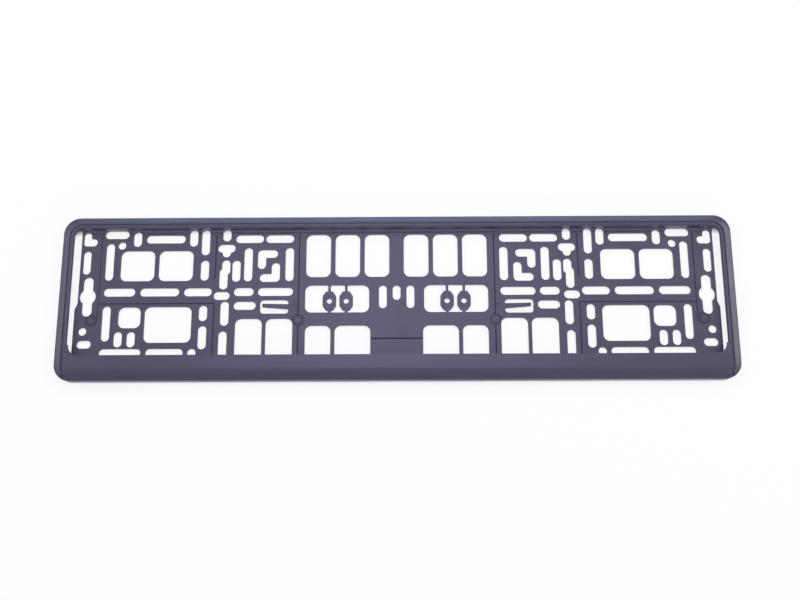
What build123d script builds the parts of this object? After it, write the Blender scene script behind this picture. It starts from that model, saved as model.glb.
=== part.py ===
from build123d import *
from math import radians, sqrt, tan
import os

# Number plate holder, lying on its back: X along the plate, Y towards the top rim, Z out of the front.
# The back plane is Z = 0 and the origin is under the middle of the outline. Sizes are in millimetres.

# The plate that the holder takes
plate_length = 520.0
plate_height = 114.0
plate_clearance = 1.2
lip_cover = 1.3

# Shell
wall = 1.8
panel_thickness = 2.0
rim_depth = 10.0
corner_radius = 13.5
side_rim_width = 6.3
top_rim_width = 8.65
edge_round = 1.2

# Front of the rim: a slope falls outwards from the crest, a ledge lies inside it one step lower, and its
# round edge runs down to the panel in a cove
rim_slope_drop = 1.5
crest_flat = 0.45
ledge_width = 3.0
ledge_drop = 0.8
ledge_round = 1.6
opening_radius = 7.5
lip_thickness = 2.4
bay_draft = 6.0
bay_cove = 4.0
rim_rib_count = 9
rim_rib_pitch = 58.0
rim_rib_thickness = 1.2

# Long slits between the panel and the side rims, under the lips
slit_width = 6.7
slit_step = 2.0
slit_step_top = -3.0
slit_step_bottom = -8.0
slit_foot = 19.3
slit_top_reach = 0.4

# Hinged strip along the lower edge
strip_width = 20.2
strip_front = 1.8
strip_end_gap = 0.4
strip_slope_width = 8.6
strip_slope_drop = 2.2
strip_crest_round = 22.0
strip_crown_width = 4.5
strip_crown_drop = 0.2
strip_crown_round = 60.0
strip_edge_round = 1.5
ear_rise = 8.3
ear_width = 2.9
ear_radius = 8.0
foot_width = 8.87
rib_count = 13
rib_pitch = 40.0
rib_thickness = 1.5
running_clearance = 0.35
nib_radius = 1.0
nib_rise = 0.28
nib_height = 5.5
nib_from_edge = 6.0

# Film hinge between the panel and the strip
film_thickness = 0.5
film_count = 6
film_length = 44.0
film_pitch = 88.0

# Openings in the panel: rows and columns of the right half, which the left half mirrors.
# They are laid out for this plate and are stretched for any other.
layout_length = 520.0
layout_height = 114.0
slot_width = 6.8
centre_slot_width = 6.2
end_slot_width = 6.4
upper_row = 50.0
middle_row = 6.0
lower_row = -43.2
inner_column = 137.0
outer_column = 154.1
far_column = 231.0
tall_window_foot = 14.3
window_radius = 5.0

# Level slots: centre x, centre y, overall length
level_slots = [
    (94.1, upper_row, 22.6),
    (118.5, upper_row, 22.6),
    (186.5, upper_row, 31.7),
    (226.2, 53.9, 19.5),
    (inner_column, 42.1, 14.0),
    (96.8, middle_row, 28.1),
    (122.2, middle_row, 15.9),
    (158.9, middle_row, 22.3),
    (189.5, middle_row, 31.4),
    (221.7, middle_row, 25.4),
    (139.8, 2.9, 12.8),
    (121.1, -5.3, 17.7),
    (183.5, lower_row, 29.7),
    (218.6, lower_row, 33.1),
]

# Upright slots: centre x, centre y, overall length
upright_slots = [
    (86.0, 28.7, 28.0),
    (119.2, 28.7, 28.0),
    (128.7, 23.3, 17.8),
    (inner_column, 53.1, 10.1),
    (inner_column, 40.1, 10.8),
    (inner_column, 26.3, 12.5),
    (138.8, 16.8, 17.4),
    (inner_column, -11.6, 19.8),
    (137.8, -37.5, 23.2),
    (outer_column, 47.2, 21.3),
    (163.9, 50.9, 14.1),
    (outer_column, 23.9, 16.9),
    (outer_column, -11.3, 12.8),
    (outer_column, -30.9, 18.8),
    (209.4, upper_row, 12.2),
    (far_column, 31.2, 30.8),
    (far_column, -19.5, 28.5),
    (210.5, -32.3, 12.5),
    (220.8, -32.3, 12.5),
]

# Windows: centre x, centre y, width, height
windows = [
    (15.75, 35.6, 19.8, 35.4),
    (39.25, 35.6, 19.8, 35.4),
    (62.75, 35.6, 19.8, 35.4),
    (47.45, 0.0, 51.1, 22.3),
    (177.4, 27.8, 27.7, 25.2),
    (208.3, 27.8, 27.5, 25.2),
    (181.8, -20.5, 37.6, 29.0),
    (212.5, -14.7, 18.0, 17.0),
]

# Windows that run down behind the strip: centre x, upper edge y, width
tall_windows = [
    (35.05, -21.7, 28.3),
    (62.55, -21.7, 20.3),
    (93.35, -15.9, 21.3),
    (117.6, -15.9, 21.4),
]

# Round holes: centre x, centre y, diameter
round_holes = [
    (221.8, 44.8, 6.4),
    (161.9, lower_row, 6.8),
]

# Pair of elbow slots, one the other turned by half a turn about their shared middle
elbow_middle = (102.65, 27.5)
elbow_arm_level = 9.4
elbow_arm_upright = 9.15
elbow_corner = (5.65, 9.95)

# Centre slots: offset of the outer two, their middle and length, then those of the middle one
centre_slot_offset = 11.0
outer_slot_y = 1.6
outer_slot_length = 18.8
middle_slot_y = 4.9
middle_slot_length = 12.0

# Fixings in the end zone, set in from the end of the panel
keyhole_inset = 7.6
keyhole_diameter = 13.0
keyhole_y = 2.5
keyhole_slot_width = 8.0
keyhole_slot_length = 32.1
end_round_inset = 5.3
end_round_y = -25.8
end_round_diameter = 6.5
end_level_inset = 7.1
end_level_y = -36.2
end_level_length = 11.5
end_upright_inset = 5.2
end_upright_y = 30.6
end_upright_length = 19.4
corner_hole_upright_inset = 4.5
corner_hole_upright_y = 50.1
corner_hole_level_inset = 6.9
corner_hole_level_y = 47.6
corner_hole_length = 11.4

# Break-off washers in the wide middle windows
washer_columns = (40.2, 53.6)
washer_y = -1.8
washer_hole = 4.3
washer_half_width = 5.4
washer_half_height = 7.9
washer_flank = 4.0
washer_tip = 2.6
washer_round = 1.6
washer_shoulder_round = 3.0
washer_stem = 2.1

# Spring finger that presses on the back of the plate, and its window
finger_root_x = 79.2
finger_tip_x = 105.2
finger_y = -6.3
finger_root_width = 4.6
finger_tip_width = 2.8
finger_thickness = 1.7
finger_sink = 1.0
finger_lift = 5.6
finger_bow = 0.3
finger_bead = 2.1
finger_nib = 2.2
finger_nib_inset = 3.6
finger_window_start = 86.2
finger_window_end = 108.7
finger_window_height = 11.2
finger_window_radius = 2.6

# Shallow relief of the panel: grooves between the zones, gate rings and a stop dimple
groove_width = 1.2
zone_line_inner = 78.3
zone_line_middle = 145.5
zone_line_end_inset = 16.2
zone_line_level = -3.3
zone_line_stop = 17.5
zone_line_centre = -32.3
zone_line_centre_length = 40.0
ring_diameter = 9.6
ring_width = 2.0
ring_depth = 0.8
ring_draft = 35.0
ring_y = -17.4
ring_end_inset = 11.6
stop_dimple = 2.0
stop_dimple_depth = 0.6

# Places that follow from the sizes above
overall_length = plate_length + 2 * (plate_clearance + side_rim_width)
ledge_height = rim_depth - ledge_drop
lip_underside = ledge_height - lip_thickness
draft_run = (ledge_height - panel_thickness) * tan(radians(bay_draft))
overall_height = top_rim_width + draft_run / 2 + plate_clearance / 2 + plate_height + foot_width
top_edge = overall_height / 2
bottom_edge = -overall_height / 2
bay_half = plate_length / 2 + plate_clearance
opening_half = plate_length / 2 - lip_cover + lip_thickness * tan(radians(bay_draft))
opening_top = top_edge - top_rim_width
wall_foot = opening_top - draft_run
cove_start = wall_foot - bay_cove / tan(radians(45 + bay_draft / 2))
groove_top = cove_start - groove_width / 2
plate_rest = bottom_edge + foot_width
rim_slope_width = top_rim_width - ledge_width - crest_flat
panel_half = bay_half - slit_width
strip_half = plate_length / 2
strip_bay_half = strip_half + strip_end_gap
strip_top = bottom_edge + strip_width
ear_top = strip_top + ear_rise
strip_edge = wall + running_clearance
strip_floor = panel_thickness + running_clearance
strip_ceiling = rim_depth - strip_front
crest_line = bottom_edge + strip_slope_width
tall_window_end = bottom_edge + tall_window_foot
zone_line_end = panel_half - zone_line_end_inset
ring_end_x = panel_half - ring_end_inset
stretch_x = plate_length / layout_length
stretch_y = plate_height / layout_height
margin = 20.0


def level_slot(x, y, length, width=slot_width):
    """A slot with round ends along X, placed on the stretched layout."""
    with Locations((x * stretch_x, y * stretch_y)):
        SlotOverall(length * stretch_x, width)


def upright_slot(x, y, length, width=slot_width):
    """A slot with round ends along Y, placed on the stretched layout."""
    with Locations((x * stretch_x, y * stretch_y)):
        SlotOverall(length * stretch_y, width, rotation=90)


def window(x, y, width, height):
    """A rectangular opening with round corners, placed on the stretched layout."""
    with Locations((x * stretch_x, y * stretch_y)):
        RectangleRounded(width * stretch_x, height * stretch_y, window_radius)


def elbow_slot(turn):
    """One elbow slot: a level arm and an upright arm with round ends."""
    corner = Vector(*elbow_corner).rotate(Axis.Z, turn)
    level_end = corner - Vector(elbow_arm_level, 0).rotate(Axis.Z, turn)
    upright_end = corner - Vector(0, elbow_arm_upright).rotate(Axis.Z, turn)
    middle = Vector(elbow_middle[0] * stretch_x, elbow_middle[1] * stretch_y)
    for arm_end in (level_end, upright_end):
        arm_middle = middle + (corner + arm_end) * 0.5
        arm = arm_end - corner
        with Locations((arm_middle.X, arm_middle.Y)):
            SlotCenterToCenter(arm.length, slot_width, rotation=Vector(1, 0).get_signed_angle(arm))


def outline(inset=0.0, mode=Mode.ADD):
    """The holder's outline seen from the front, drawn in by the given inset."""
    length = overall_length - 2 * inset
    height = overall_height - 2 * inset
    RectangleRounded(length, height, corner_radius - inset, mode=mode)


def tray(half_length, top, radius, mode=Mode.ADD):
    """A bay with two round upper corners that runs out past the lower edge."""
    height = top - bottom_edge + margin
    with Locations((0, top - height / 2)):
        RectangleRounded(2 * half_length, height, radius, mode=mode)


def lower_band(half_length, top, mode=Mode.ADD):
    """A rectangle across the lower part of the holder, past its lower edge."""
    with Locations((0, top)):
        Rectangle(2 * half_length, top - bottom_edge + margin, align=(Align.CENTER, Align.MAX), mode=mode)


def groove(start, end):
    """A bar on its edge that cuts a straight groove, level or upright, between two points."""
    side = groove_width / sqrt(2)
    run_x = abs(end[0] - start[0])
    run_y = abs(end[1] - start[1])
    with Locations(((start[0] + end[0]) / 2, (start[1] + end[1]) / 2, panel_thickness)):
        if run_x > run_y:
            Box(run_x + groove_width, side, side, rotation=(45, 0, 0))
        else:
            Box(side, run_y + groove_width, side, rotation=(0, 45, 0))


def strip_side_view(front):
    """The strip seen from its end: a flat front with a faint crown, then a slope to the lower edge."""
    crown = (crest_line + strip_crown_width, front)
    crest = (crest_line, front - strip_crown_drop)
    slope_end = crest_line - 2 * strip_slope_width
    with BuildSketch(Plane.YZ) as side_view:
        with BuildLine():
            Polyline(
                (slope_end, crest[1] - 2 * strip_slope_drop),
                crest,
                crown,
                (top_edge, front),
                (top_edge, -margin),
                (slope_end, -margin),
                close=True,
            )
        make_face()
        fillet(side_view.vertices().sort_by_distance(crest)[0], strip_crest_round)
        fillet(side_view.vertices().sort_by_distance(crown)[0], strip_crown_round)
    return side_view.sketch


def edges_at(edges, height):
    """Those of the edges that lie at the given height above the back plane."""
    return edges.filter_by_position(Axis.Z, height - 0.01, height + 0.01)


# Plan of the spring finger, from its root to past its tip
with BuildSketch() as finger_plan:
    root_x = finger_root_x * stretch_x
    tip_x = finger_tip_x * stretch_x
    finger_line = finger_y * stretch_y
    with BuildLine():
        Polyline(
            (root_x, finger_line - finger_root_width / 2),
            (tip_x + finger_bead, finger_line - finger_tip_width / 2),
            (tip_x + finger_bead, finger_line + finger_tip_width / 2),
            (root_x, finger_line + finger_root_width / 2),
            close=True,
        )
    make_face()


# Spring finger: a tapered blade that rises out of a pocket in the panel, with a round tip and a nib under it
with BuildPart() as spring_finger:
    with BuildSketch(Plane.XZ.offset(-finger_line)):
        with BuildLine():
            middle_x = (root_x + tip_x) / 2
            root_top = panel_thickness - finger_sink
            tip_top = root_top + finger_lift
            middle_top = (root_top + tip_top) / 2 - finger_bow
            ThreePointArc((root_x, root_top), (middle_x, middle_top), (tip_x, tip_top))
            Line((tip_x, tip_top), (tip_x, tip_top - finger_thickness))
            ThreePointArc(
                (tip_x, tip_top - finger_thickness),
                (middle_x, middle_top - finger_thickness),
                (root_x, root_top - finger_thickness),
            )
            Line((root_x, root_top - finger_thickness), (root_x, root_top))
        make_face()
        with Locations((tip_x, tip_top - finger_thickness / 2)):
            Circle(finger_bead / 2)
        with Locations((tip_x - finger_nib_inset, tip_top - finger_thickness - finger_nib / 2)):
            Circle(finger_nib / 2)
    extrude(amount=finger_root_width / 2, both=True)
    extrude(finger_plan.sketch, amount=rim_depth, mode=Mode.INTERSECT)


# Break-off washer: a long hexagon with round corners and a stem at each end
with BuildSketch() as washer:
    with BuildLine():
        Polyline(
            (washer_tip, washer_half_height),
            (washer_half_width, washer_flank),
            (washer_half_width, -washer_flank),
            (washer_tip, -washer_half_height),
            (-washer_tip, -washer_half_height),
            (-washer_half_width, -washer_flank),
            (-washer_half_width, washer_flank),
            (-washer_tip, washer_half_height),
            close=True,
        )
    make_face()
    shoulder_top = (washer_flank + washer_half_height) / 2
    fillet(washer.vertices().filter_by_position(Axis.Y, -shoulder_top, shoulder_top), washer_shoulder_round)
    fillet(washer.vertices().filter_by(lambda corner: abs(corner.Y) > washer_half_height - 0.01), washer_round)


# Shallow relief of the panel: V-shaped grooves between the zones, gate rings and stop dimples
with BuildPart() as relief:
    level_y = zone_line_level * stretch_y
    stop_y = zone_line_stop * stretch_y
    ring_line = ring_y * stretch_y
    centre_y = zone_line_centre * stretch_y
    for side in (-1, 1):
        inner_x = side * zone_line_inner * stretch_x
        outer_x = side * zone_line_middle * stretch_x
        end_x = side * zone_line_end
        groove((inner_x, tall_window_end), (inner_x, ring_line - ring_diameter / 2))
        groove((inner_x, ring_line + ring_diameter / 2), (inner_x, groove_top))
        groove((outer_x, stop_y), (outer_x, groove_top))
        groove((outer_x, tall_window_end), (outer_x, level_y))
        groove((outer_x, level_y), (end_x, level_y))
        groove((end_x, ring_line), (end_x, groove_top))
    groove((-zone_line_centre_length / 2, centre_y), (zone_line_centre_length / 2, centre_y))
    with BuildSketch(Plane.XY.offset(panel_thickness)):
        with Locations((zone_line_middle * stretch_x, stop_y)):
            Circle(stop_dimple / 2)
        mirror(about=Plane.YZ)
    extrude(amount=stop_dimple_depth, dir=(0, 0, -1))
    with BuildSketch(Plane.XY.offset(panel_thickness)):
        with Locations((zone_line_inner * stretch_x, ring_line), (ring_end_x, ring_line)):
            Circle(ring_diameter / 2)
            Circle(ring_diameter / 2 - ring_width, mode=Mode.SUBTRACT)
        mirror(about=Plane.YZ)
    extrude(amount=ring_depth, dir=(0, 0, -1), taper=ring_draft)


# Base frame: panel, top rim and side rims in one moulding
with BuildPart() as base_frame:
    with BuildSketch():
        outline()
    extrude(amount=rim_depth)
    front_face = base_frame.faces().sort_by(Axis.Z)[-1]
    chamfer(front_face.edges(), rim_slope_width, rim_slope_drop, reference=front_face)
    fillet(edges_at(base_frame.edges(), rim_depth - rim_slope_drop), edge_round)

    # Bay in front of the panel, open at its lower end, with the ledge round its edge and a cove at its foot
    with BuildSketch(Plane.XY.offset(ledge_height)):
        tray(opening_half + ledge_width, opening_top + ledge_width, opening_radius + ledge_width)
    extrude(amount=rim_depth, mode=Mode.SUBTRACT)
    with BuildSketch(Plane.XY.offset(ledge_height)):
        tray(opening_half, opening_top, opening_radius)
    extrude(amount=ledge_height - panel_thickness, dir=(0, 0, -1), taper=bay_draft, mode=Mode.SUBTRACT)
    bay_edges = base_frame.edges(Select.LAST).filter_by_position(Axis.Y, bottom_edge + corner_radius, top_edge)
    fillet(edges_at(bay_edges, ledge_height), ledge_round)
    foot_edges = edges_at(base_frame.edges(), panel_thickness)
    fillet(foot_edges.filter_by_position(Axis.Y, bottom_edge + corner_radius, top_edge), bay_cove)

    # Seat for the strip between the lower ends of the side rims
    with BuildSketch(Plane.XY.offset(panel_thickness)):
        lower_band(strip_bay_half, ear_top + running_clearance)
    extrude(amount=rim_depth, mode=Mode.SUBTRACT)
    with BuildSketch():
        outline()
        outline(strip_edge, Mode.SUBTRACT)
        lower_band(strip_bay_half, strip_top, Mode.INTERSECT)
    extrude(amount=rim_depth, mode=Mode.SUBTRACT)
    for side in (-1, 1):
        with BuildSketch(Plane.YZ.offset(side * strip_bay_half)):
            with Locations((bottom_edge + nib_from_edge, nib_height)):
                Circle(nib_radius + running_clearance)
        extrude(amount=side * nib_rise, mode=Mode.SUBTRACT)

    # Slits along the ends of the panel, which also free the underside of the lips
    with BuildSketch():
        with BuildLine():
            Polyline(
                (panel_half, opening_top + slit_top_reach),
                (panel_half, slit_step_top * stretch_y),
                (panel_half + slit_step, slit_step_bottom * stretch_y),
                (panel_half + slit_step, bottom_edge + slit_foot),
                (strip_bay_half, bottom_edge + slit_foot),
                (strip_bay_half, ear_top),
                (bay_half, ear_top),
                (bay_half, opening_top + slit_top_reach),
                close=True,
            )
        make_face()
        mirror(about=Plane.YZ)
    extrude(amount=lip_underside, mode=Mode.SUBTRACT)

    # Room for the plate's ends, in front of the wider lower part of the panel
    with BuildSketch(Plane.XY.offset(panel_thickness)):
        with BuildLine():
            Polyline(
                (panel_half, slit_step_top * stretch_y),
                (panel_half, ear_top),
                (bay_half, ear_top),
                (bay_half, slit_step_top * stretch_y),
                close=True,
            )
        make_face()
        mirror(about=Plane.YZ)
    extrude(amount=lip_underside - panel_thickness, mode=Mode.SUBTRACT)

    # The rims are hollow from the back
    with BuildSketch():
        outline(wall)
        tray(bay_half + wall, opening_top + wall, opening_radius, Mode.SUBTRACT)
        with GridLocations(rim_rib_pitch * stretch_x, 1, rim_rib_count, 1):
            Rectangle(rim_rib_thickness, overall_height, mode=Mode.SUBTRACT)
    extrude(amount=rim_depth - rim_slope_drop - wall, mode=Mode.SUBTRACT)

    # Film hinges that carry the strip
    with BuildSketch():
        with Locations((0, bottom_edge + strip_edge)):
            with GridLocations(film_pitch * stretch_x, 1, film_count, 1):
                Rectangle(film_length * stretch_x, 2 * strip_edge)
        outline(mode=Mode.INTERSECT)
    extrude(amount=film_thickness)

    # Slots, windows and holes of the panel
    with BuildSketch():
        for slot in level_slots:
            level_slot(*slot)
        for slot in upright_slots:
            upright_slot(*slot)
        for turn in (0, 180):
            elbow_slot(turn)
        for opening in windows:
            window(*opening)
        for x, top, width in tall_windows:
            end = tall_window_end / stretch_y
            window(x, (top + end) / 2, width, top - end)
        for x, y, diameter in round_holes:
            with Locations((x * stretch_x, y * stretch_y)):
                Circle(diameter / 2)
        upright_slot(centre_slot_offset, outer_slot_y, outer_slot_length, centre_slot_width)
        upright_slot(0, middle_slot_y, middle_slot_length, centre_slot_width)
        finger_window_length = finger_window_end - finger_window_start
        with Locations(((finger_window_start + finger_window_length / 2) * stretch_x, finger_y * stretch_y)):
            RectangleRounded(finger_window_length * stretch_x, finger_window_height, finger_window_radius)
        with Locations((panel_half - keyhole_inset, keyhole_y * stretch_y)):
            Circle(keyhole_diameter / 2)
            SlotOverall(keyhole_slot_length * stretch_y, keyhole_slot_width, rotation=90)
        with Locations((panel_half - end_round_inset, end_round_y * stretch_y)):
            Circle(end_round_diameter / 2)
        with Locations((panel_half - end_level_inset, end_level_y * stretch_y)):
            SlotOverall(end_level_length, end_slot_width)
        with Locations((panel_half - end_upright_inset, end_upright_y * stretch_y)):
            SlotOverall(end_upright_length * stretch_y, end_slot_width, rotation=90)
        with Locations((panel_half - corner_hole_upright_inset, corner_hole_upright_y * stretch_y)):
            SlotOverall(corner_hole_length, end_slot_width, rotation=90)
        with Locations((panel_half - corner_hole_level_inset, corner_hole_level_y * stretch_y)):
            SlotOverall(corner_hole_length, end_slot_width)
        mirror(about=Plane.YZ)
    extrude(amount=lip_underside, mode=Mode.SUBTRACT)

    # Break-off washers on their stems
    with BuildSketch():
        for x in washer_columns:
            with Locations((x * stretch_x, washer_y * stretch_y)):
                add(washer.sketch)
            with Locations((x * stretch_x, 0)):
                Rectangle(washer_stem, windows[3][3] * stretch_y + washer_stem)
            with Locations((x * stretch_x, washer_y * stretch_y)):
                Circle(washer_hole / 2, mode=Mode.SUBTRACT)
        mirror(about=Plane.YZ)
    extrude(amount=panel_thickness)

    # Spring fingers in their pockets
    with BuildSketch(Plane.XY.offset(panel_thickness - finger_sink)):
        add(finger_plan.sketch)
        mirror(about=Plane.YZ)
    extrude(amount=finger_sink, mode=Mode.SUBTRACT)
    add(spring_finger.part)
    add(mirror(spring_finger.part, about=Plane.YZ, mode=Mode.PRIVATE))

    # Shallow relief of the panel
    add(relief.part, mode=Mode.SUBTRACT)


# Space inside the strip: open at the back and above, with the ribs left standing in it
with BuildPart() as strip_hollow:
    with BuildSketch(Plane.XY.offset(strip_floor)):
        outline(wall)
        lower_band(strip_half - wall, strip_top, Mode.INTERSECT)
    extrude(amount=rim_depth)
    extrude(strip_side_view(strip_ceiling), amount=overall_length, both=True, mode=Mode.INTERSECT)
    with BuildSketch(Plane.XY.offset(strip_floor)):
        with GridLocations(rib_pitch * stretch_x, 1, rib_count, 1):
            Rectangle(rib_thickness, overall_height)
    extrude(amount=rim_depth, mode=Mode.SUBTRACT)
    with BuildSketch(Plane.XY.offset(strip_floor)):
        with Locations((0, plate_rest)):
            Rectangle(overall_length, overall_height, align=(Align.CENTER, Align.MIN))
    extrude(amount=strip_ceiling - strip_floor)
    with BuildSketch():
        outline(wall)
        with Locations((0, plate_rest)):
            Rectangle(overall_length, overall_height, align=(Align.CENTER, Align.MIN))
    extrude(amount=strip_floor)


# Retaining strip: a bar with flared ends that closes the lower edge of the bay
with BuildPart() as retaining_strip:
    with BuildSketch(Plane.XY.offset(film_thickness)):
        outline()
        lower_band(strip_half, ear_top, Mode.INTERSECT)
        with Locations((0, strip_top + overall_height / 2)):
            RectangleRounded(2 * (strip_half - ear_width), overall_height, ear_radius, mode=Mode.SUBTRACT)
    extrude(amount=rim_depth)
    extrude(strip_side_view(rim_depth), amount=overall_length, both=True, mode=Mode.INTERSECT)
    front_edges = retaining_strip.edges().filter_by_position(Axis.Z, rim_depth / 2, rim_depth)
    fillet(front_edges.filter_by_position(Axis.Y, bottom_edge - wall, bottom_edge + wall), strip_edge_round)
    add(strip_hollow.part, mode=Mode.SUBTRACT)
    for side in (-1, 1):
        with BuildSketch(Plane.YZ.offset(side * strip_half)):
            with Locations((bottom_edge + nib_from_edge, nib_height)):
                Circle(nib_radius)
        extrude(amount=side * nib_rise)


# Every finished piece is written as its own file
os.makedirs("parts", exist_ok=True)
base_frame.part.label = "base_frame"
export_step(base_frame.part, "parts/base_frame.step")
retaining_strip.part.label = "retaining_strip"
export_step(retaining_strip.part, "parts/retaining_strip.step")
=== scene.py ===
"""Number plate holder in satin black plastic, lying on a pale table under a soft studio light."""

import logging
import math
from dataclasses import dataclass, field
from enum import Enum

import bpy
from mathutils import Matrix, Vector

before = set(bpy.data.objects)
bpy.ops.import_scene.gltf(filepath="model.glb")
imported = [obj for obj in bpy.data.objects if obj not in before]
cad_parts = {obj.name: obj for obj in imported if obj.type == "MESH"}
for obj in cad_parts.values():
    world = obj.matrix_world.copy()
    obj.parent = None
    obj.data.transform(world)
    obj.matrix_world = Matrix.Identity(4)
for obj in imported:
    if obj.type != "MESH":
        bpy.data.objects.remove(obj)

Colour = tuple[float, float, float, float]
Place = tuple[float, float, float]
Tint = tuple[float, float, float]

PHOTO_WIDTH = 800
SENSOR_WIDTH = 36.0

NODE_STEP = 180.0
NOISE_LOW = 0.3
NOISE_HIGH = 0.7

WHITE: Colour = (1.0, 1.0, 1.0, 1.0)
COOL_LAMP: Tint = (0.95, 0.96, 1.0)
SKY_LAMP: Tint = (0.82, 0.97, 1.0)
WARM_LAMP: Tint = (1.0, 0.97, 0.76)

log = logging.getLogger("number_plate_holder")


class Node(Enum):
    """The two moulded pieces of the holder."""

    BASE = "base_frame"
    STRIP = "retaining_strip"


class Noise(Enum):
    """Kinds of noise that the plastic's detail is made of."""

    FLOW = "flow"
    GRAIN = "grain"
    WAVE = "wave"


class NodeTree:
    """A small helper that lays out a material's nodes and links them."""

    def __init__(self, tree: bpy.types.NodeTree) -> None:
        """Start with an empty tree.

        Args:
            tree: The node tree to fill.
        """
        self.tree = tree
        self.tree.nodes.clear()
        self.column = 0

    def add(self, kind: str, label: str, **values: object) -> bpy.types.Node:
        """Add one node.

        Args:
            kind: Blender's type name of the node.
            label: A plain label that says what the node is for.
            **values: Properties of the node that are set on it.

        Returns:
            The new node.
        """
        node = self.tree.nodes.new(kind)
        node.label = label
        node.location = (self.column * NODE_STEP, 0.0)
        self.column += 1
        for name, value in values.items():
            setattr(node, name, value)
        return node

    def link(self, source: bpy.types.NodeSocket, target: bpy.types.NodeSocket) -> None:
        """Link an output to an input."""
        self.tree.links.new(source, target)

    def scaled_place(self, scale: Place, label: str) -> bpy.types.NodeSocket:
        """Object coordinates stretched by a scale along each axis.

        Args:
            scale: The factor along X, Y and Z.
            label: What the place is used for.

        Returns:
            The vector output.
        """
        place = self.add("ShaderNodeTexCoord", "place on the piece")
        mapping = self.add("ShaderNodeMapping", label)
        mapping.inputs["Scale"].default_value = scale
        self.link(place.outputs["Object"], mapping.inputs["Vector"])
        return mapping.outputs["Vector"]

    def noise(self, scale: Place, detail: float, label: str) -> bpy.types.NodeSocket:
        """A noise between 0 and 1 over the piece.

        Args:
            scale: Noise cells per metre along X, Y and Z.
            detail: How many finer layers it has.
            label: What the noise is used for.

        Returns:
            The value output.
        """
        texture = self.add("ShaderNodeTexNoise", label)
        texture.inputs["Scale"].default_value = 1.0
        texture.inputs["Detail"].default_value = detail
        self.link(self.scaled_place(scale, label), texture.inputs["Vector"])
        return texture.outputs["Fac"]

    def spread(
        self, value: bpy.types.NodeSocket, low: float, high: float, label: str
    ) -> bpy.types.NodeSocket:
        """Spread a noise, which stays near its middle, over a range.

        Args:
            value: The noise.
            low: The value at the noise's low end.
            high: The value at its high end.
            label: What the result is.

        Returns:
            The spread value.
        """
        ranged = self.add("ShaderNodeMapRange", label)
        ranged.inputs["From Min"].default_value = NOISE_LOW
        ranged.inputs["From Max"].default_value = NOISE_HIGH
        ranged.inputs["To Min"].default_value = low
        ranged.inputs["To Max"].default_value = high
        self.link(value, ranged.inputs["Value"])
        return ranged.outputs["Result"]

    def bump(
        self,
        height: bpy.types.NodeSocket,
        depth: float,
        label: str,
        below: bpy.types.NodeSocket | None = None,
    ) -> bpy.types.NodeSocket:
        """A bump of a depth in metres, on top of another bump where one is given.

        Args:
            height: A height between 0 and 1.
            depth: What a height of 1 stands for.
            label: What the bump is.
            below: The normal of the bump below it.

        Returns:
            The normal output.
        """
        bump = self.add("ShaderNodeBump", label)
        bump.inputs["Strength"].default_value = 1.0
        bump.inputs["Distance"].default_value = depth
        self.link(height, bump.inputs["Height"])
        if below is not None:
            self.link(below, bump.inputs["Normal"])
        return bump.outputs["Normal"]


@dataclass(frozen=True)
class SatinPlastic:
    """Moulded black plastic with a satin front, faint flow marks and a fine grain."""

    name: str
    rough_low: float
    rough_high: float
    flow_scale: Place
    light_colour: Colour = (0.052, 0.048, 0.076, 1.0)
    dark_colour: Colour = (0.045, 0.041, 0.067, 1.0)
    flow_detail: float = 4.0
    grain_scale: Place = (2600.0, 2600.0, 2600.0)
    grain_detail: float = 2.0
    grain_depth: float = 0.00002
    wave_scale: Place = (26.0, 60.0, 60.0)
    wave_detail: float = 1.0
    wave_depth: float = 0.00015
    specular_level: float = 0.75
    specular_tint: Colour = (0.72, 0.69, 1.0, 1.0)
    refraction: float = 1.5

    def material(self) -> bpy.types.Material:
        """Build the plastic's material.

        Returns:
            The new material.
        """
        material = bpy.data.materials.new(self.name)
        material.use_nodes = True
        nodes = NodeTree(material.node_tree)
        flow = nodes.noise(self.flow_scale, self.flow_detail, Noise.FLOW.value)
        shade = nodes.add("ShaderNodeMix", "flow marks", data_type="RGBA")
        shade.inputs["A"].default_value = self.dark_colour
        shade.inputs["B"].default_value = self.light_colour
        nodes.link(nodes.spread(flow, 0.0, 1.0, "flow contrast"), shade.inputs["Factor"])
        grain = nodes.noise(self.grain_scale, self.grain_detail, Noise.GRAIN.value)
        wave = nodes.noise(self.wave_scale, self.wave_detail, Noise.WAVE.value)
        normal = nodes.bump(wave, self.wave_depth, "uneven cooling")
        normal = nodes.bump(grain, self.grain_depth, "mould grain", normal)
        plastic = nodes.add("ShaderNodeBsdfPrincipled", "plastic")
        plastic.inputs["IOR"].default_value = self.refraction
        plastic.inputs["Specular IOR Level"].default_value = self.specular_level
        plastic.inputs["Specular Tint"].default_value = self.specular_tint
        nodes.link(shade.outputs["Result"], plastic.inputs["Base Color"])
        roughness = nodes.spread(flow, self.rough_low, self.rough_high, "gloss")
        nodes.link(roughness, plastic.inputs["Roughness"])
        nodes.link(normal, plastic.inputs["Normal"])
        output = nodes.add("ShaderNodeOutputMaterial", "surface")
        nodes.link(plastic.outputs["BSDF"], output.inputs["Surface"])
        return material


FRAME_PLASTIC = SatinPlastic(
    name="satin_frame_plastic",
    rough_low=0.30,
    rough_high=0.40,
    flow_scale=(40.0, 70.0, 70.0),
)
STRIP_PLASTIC = SatinPlastic(
    name="satin_strip_plastic",
    rough_low=0.28,
    rough_high=0.36,
    flow_scale=(18.0, 110.0, 110.0),
)


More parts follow.
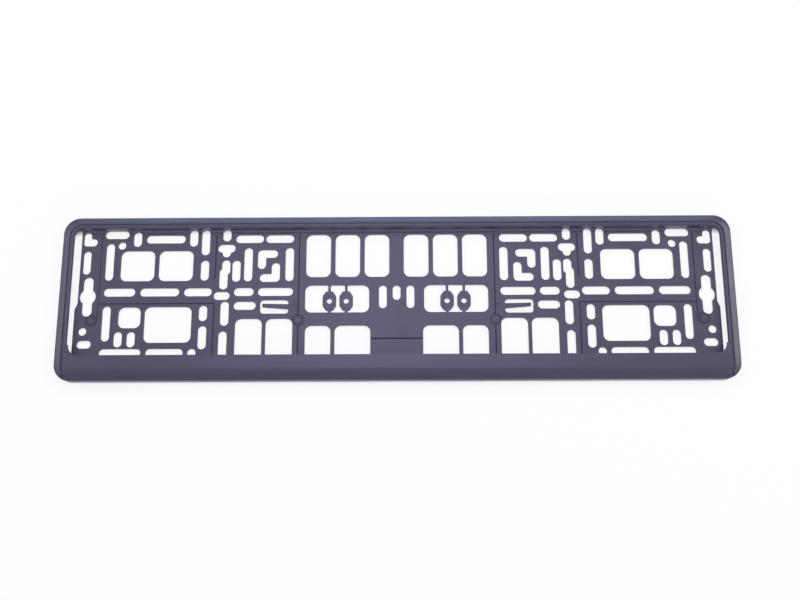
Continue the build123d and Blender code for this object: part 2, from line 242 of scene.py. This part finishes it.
@dataclass(frozen=True)
class SoftShading:
    """Joins a piece's facets so that its rounds shade smoothly and its edges stay crisp."""

    name: str = "soft_shading"
    join_distance: float = 0.00001
    crisp_angle: float = math.radians(32.0)

    def group(self) -> bpy.types.NodeTree:
        """Build the modifier's node group.

        Returns:
            The new geometry node group.
        """
        tree = bpy.data.node_groups.new(self.name, "GeometryNodeTree")
        tree.interface.new_socket("Geometry", in_out="INPUT", socket_type="NodeSocketGeometry")
        tree.interface.new_socket("Geometry", in_out="OUTPUT", socket_type="NodeSocketGeometry")
        nodes = NodeTree(tree)
        start = nodes.add("NodeGroupInput", "facets")
        join = nodes.add("GeometryNodeMergeByDistance", "join facets")
        join.inputs["Distance"].default_value = self.join_distance
        faces = nodes.add("GeometryNodeSetShadeSmooth", "smooth faces", domain="FACE")
        edges = nodes.add("GeometryNodeSetShadeSmooth", "crisp edges", domain="EDGE")
        angle = nodes.add("GeometryNodeInputMeshEdgeAngle", "angle of an edge")
        round_edge = nodes.add("FunctionNodeCompare", "round enough", operation="LESS_THAN")
        round_edge.inputs["B"].default_value = self.crisp_angle
        end = nodes.add("NodeGroupOutput", "shaded")
        nodes.link(start.outputs["Geometry"], join.inputs["Geometry"])
        nodes.link(join.outputs["Geometry"], faces.inputs["Geometry"])
        nodes.link(faces.outputs["Geometry"], edges.inputs["Geometry"])
        nodes.link(angle.outputs["Unsigned Angle"], round_edge.inputs["A"])
        nodes.link(round_edge.outputs["Result"], edges.inputs["Shade Smooth"])
        nodes.link(edges.outputs["Geometry"], end.inputs["Geometry"])
        return tree

    def apply_to(self, piece: bpy.types.Object) -> None:
        """Hang the modifier on a piece.

        Args:
            piece: The piece to shade.
        """
        shared = bpy.data.node_groups.get(self.name)
        modifier = piece.modifiers.new(self.name, "NODES")
        modifier.node_group = shared if shared is not None else self.group()


@dataclass
class PlateHolder:
    """The holder itself: the frame and its folding strip, each with its finish."""

    finishes: dict[Node, SatinPlastic] = field(
        default_factory=lambda: {Node.BASE: FRAME_PLASTIC, Node.STRIP: STRIP_PLASTIC}
    )
    shading: SoftShading = SoftShading()

    def dress(self) -> None:
        """Give both moulded pieces their plastic."""
        for node, finish in self.finishes.items():
            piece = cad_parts[node.value]
            piece.data.materials.clear()
            piece.data.materials.append(finish.material())
            self.shading.apply_to(piece)
            log.info("%s dressed in %s", node.value, finish.name)


@dataclass(frozen=True)
class PhotoCamera:
    """The camera of the photograph, worked out from the holder's own openings."""

    elevation: float = 77.0
    azimuth: float = 1.72
    roll: float = -1.94
    distance: float = 0.7454
    focal_pixels: float = 933.9
    target: Place = (0.00267, -0.00081, 0.0)
    near_clip: float = 0.01
    far_clip: float = 50.0

    def place(self) -> None:
        """Add the camera and make it the scene's own."""
        rise = math.radians(self.elevation)
        turn = math.radians(self.azimuth)
        lean = math.radians(self.roll)
        forward = Vector(
            (-math.sin(turn) * math.cos(rise), math.cos(turn) * math.cos(rise), -math.sin(rise))
        )
        level = Vector((math.cos(turn), math.sin(turn), 0.0))
        upright = level.cross(forward)
        right = math.cos(lean) * level + math.sin(lean) * upright
        up = -math.sin(lean) * level + math.cos(lean) * upright
        lens = bpy.data.cameras.new("photo_camera")
        lens.sensor_fit = "HORIZONTAL"
        lens.sensor_width = SENSOR_WIDTH
        lens.lens = self.focal_pixels * SENSOR_WIDTH / PHOTO_WIDTH
        lens.clip_start = self.near_clip
        lens.clip_end = self.far_clip
        camera = bpy.data.objects.new("photo_camera", lens)
        bpy.context.scene.collection.objects.link(camera)
        turned = Matrix((right, up, -forward)).transposed().to_4x4()
        stand = Vector(self.target) - self.distance * forward
        camera.matrix_world = Matrix.Translation(stand) @ turned
        bpy.context.scene.camera = camera
        log.info("camera placed %.3f m from the holder", self.distance)


@dataclass(frozen=True)
class SoftBox:
    """A large soft lamp that points at the holder."""

    name: str
    position: Place
    aim: Place
    width: float
    depth: float
    power: float
    colour: Tint

    def hang(self) -> None:
        """Add the lamp to the scene."""
        lamp = bpy.data.lights.new(self.name, "AREA")
        lamp.shape = "RECTANGLE"
        lamp.size = self.width
        lamp.size_y = self.depth
        lamp.energy = self.power
        lamp.color = self.colour
        holder = bpy.data.objects.new(self.name, lamp)
        bpy.context.scene.collection.objects.link(holder)
        holder.location = self.position
        direction = Vector(self.aim) - Vector(self.position)
        holder.rotation_euler = direction.to_track_quat("-Z", "Y").to_euler()


@dataclass
class Studio:
    """A white table with a low backdrop, and soft boxes overhead, behind, in front and at each end."""

    floor_size: float = 12.0
    floor_drop: float = 0.00005
    backdrop_radius: float = 5.8
    backdrop_height: float = 1.5
    backdrop_sides: int = 128
    floor_colour: Colour = (0.86, 0.86, 0.9, 1.0)
    white_share: float = 0.84
    # Painted shadow on the table: ambient occlusion about a normal leaned toward the back lamps takes
    # the white away near the holder.
    light_lean: Place = (0.0, 0.6, 0.8)
    painted_shadow_reach: float = 0.008
    painted_shadow_dark: float = 0.17
    painted_shadow_clear: float = 0.36
    painted_shadow_samples: int = 16
    world_colour: Colour = (0.80, 0.86, 1.0, 1.0)
    world_strength: float = 0.45
    boxes: tuple[SoftBox, ...] = (
        SoftBox("overhead_box", (0.0, 0.2, 1.4), (0.0, 0.2, 0.0), 1.8, 1.1, 3.3, COOL_LAMP),
        SoftBox("centre_box", (-0.04, 0.28, 1.38), (-0.04, 0.28, 0.0), 0.6, 0.8, 2.4, COOL_LAMP),
        SoftBox("back_box", (0.0, 1.15, 0.96), (0.0, 0.06, 0.0), 1.5, 0.45, 7.8, SKY_LAMP),
        SoftBox("front_box", (0.0, -1.4, 0.45), (0.0, 0.05, 0.0), 2.6, 0.6, 10.5, COOL_LAMP),
        SoftBox("right_box", (1.15, 0.32, 0.91), (0.26, 0.0, 0.0), 0.9, 0.5, 6.7, WARM_LAMP),
        SoftBox("left_box", (-1.15, 0.32, 0.91), (-0.26, 0.0, 0.0), 0.9, 0.5, 3.8, WARM_LAMP),
    )

    def table(self) -> None:
        """Lay the white table and stand a low backdrop of the same white far round it."""
        white = self.table_material()
        bpy.ops.object.select_all(action="DESELECT")
        bpy.ops.mesh.primitive_plane_add(size=self.floor_size, location=(0.0, 0.0, -self.floor_drop))
        floor = bpy.context.object
        floor.name = "table_top"
        floor.data.materials.append(white)
        bpy.ops.object.select_all(action="DESELECT")
        bpy.ops.mesh.primitive_cylinder_add(
            vertices=self.backdrop_sides,
            radius=self.backdrop_radius,
            depth=self.backdrop_height,
            end_fill_type="NOTHING",
            location=(0.0, 0.0, self.backdrop_height / 2 - self.floor_drop),
        )
        bpy.ops.object.shade_smooth()
        backdrop = bpy.context.object
        backdrop.name = "backdrop"
        backdrop.data.materials.append(white)

    def table_material(self) -> bpy.types.Material:
        """The table's white, with a painted shadow where the holder is close, over the paper's own lit
        shading.

        Returns:
            The new material.
        """
        material = bpy.data.materials.new("white_table")
        material.use_nodes = True
        nodes = NodeTree(material.node_tree)
        paper = nodes.add("ShaderNodeBsdfDiffuse", "paper")
        paper.inputs["Color"].default_value = self.floor_colour
        white = nodes.add("ShaderNodeEmission", "white")
        white.inputs["Color"].default_value = WHITE
        white.inputs["Strength"].default_value = 1.0
        path = nodes.add("ShaderNodeLightPath", "kind of ray")
        seen = nodes.add("ShaderNodeMath", "seen or mirrored", operation="MAXIMUM")
        nodes.link(path.outputs["Is Camera Ray"], seen.inputs[0])
        nodes.link(path.outputs["Is Glossy Ray"], seen.inputs[1])
        # Painted shadow: where ambient occlusion finds the holder close, the white is withdrawn and
        # only the paper's real lit shading is left, so the dark band is partly painted and partly
        # real.
        painted_shadow = nodes.add("ShaderNodeAmbientOcclusion", "painted_shadow", samples=self.painted_shadow_samples)
        painted_shadow.inputs["Distance"].default_value = self.painted_shadow_reach
        lean = nodes.add("ShaderNodeCombineXYZ", "where most light comes from")
        for axis, part in zip("XYZ", self.light_lean):
            lean.inputs[axis].default_value = part
        nodes.link(lean.outputs["Vector"], painted_shadow.inputs["Normal"])
        clear = nodes.add(
            "ShaderNodeMapRange", "clear of the holder", interpolation_type="SMOOTHSTEP"
        )
        clear.inputs["From Min"].default_value = self.painted_shadow_dark
        clear.inputs["From Max"].default_value = self.painted_shadow_clear
        clear.inputs["To Min"].default_value = 0.0
        clear.inputs["To Max"].default_value = self.white_share
        nodes.link(painted_shadow.outputs["AO"], clear.inputs["Value"])
        share = nodes.add("ShaderNodeMath", "share of white", operation="MULTIPLY")
        nodes.link(seen.outputs[0], share.inputs[0])
        nodes.link(clear.outputs["Result"], share.inputs[1])
        mix = nodes.add("ShaderNodeMixShader", "white table")
        nodes.link(share.outputs[0], mix.inputs["Fac"])
        nodes.link(paper.outputs["BSDF"], mix.inputs[1])
        nodes.link(white.outputs["Emission"], mix.inputs[2])
        output = nodes.add("ShaderNodeOutputMaterial", "surface")
        nodes.link(mix.outputs["Shader"], output.inputs["Surface"])
        return material

    def sky(self) -> None:
        """Fill the room with an even, cool light."""
        world = bpy.data.worlds.new("studio_room")
        world.use_nodes = True
        background = world.node_tree.nodes["Background"]
        background.inputs["Color"].default_value = self.world_colour
        background.inputs["Strength"].default_value = self.world_strength
        bpy.context.scene.world = world

    def set_up(self) -> None:
        """Build the table, the lamps and the room."""
        self.table()
        self.sky()
        for box in self.boxes:
            box.hang()
        bpy.context.scene.view_settings.view_transform = "Standard"
        log.info("studio set up with %d soft boxes", len(self.boxes))


def main() -> None:
    """Dress the holder, set up the studio and place the camera."""
    logging.basicConfig(level=logging.INFO, format="%(name)s: %(message)s")
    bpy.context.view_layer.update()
    PlateHolder().dress()
    Studio().set_up()
    PhotoCamera().place()


if __name__ == "__main__":
    main()
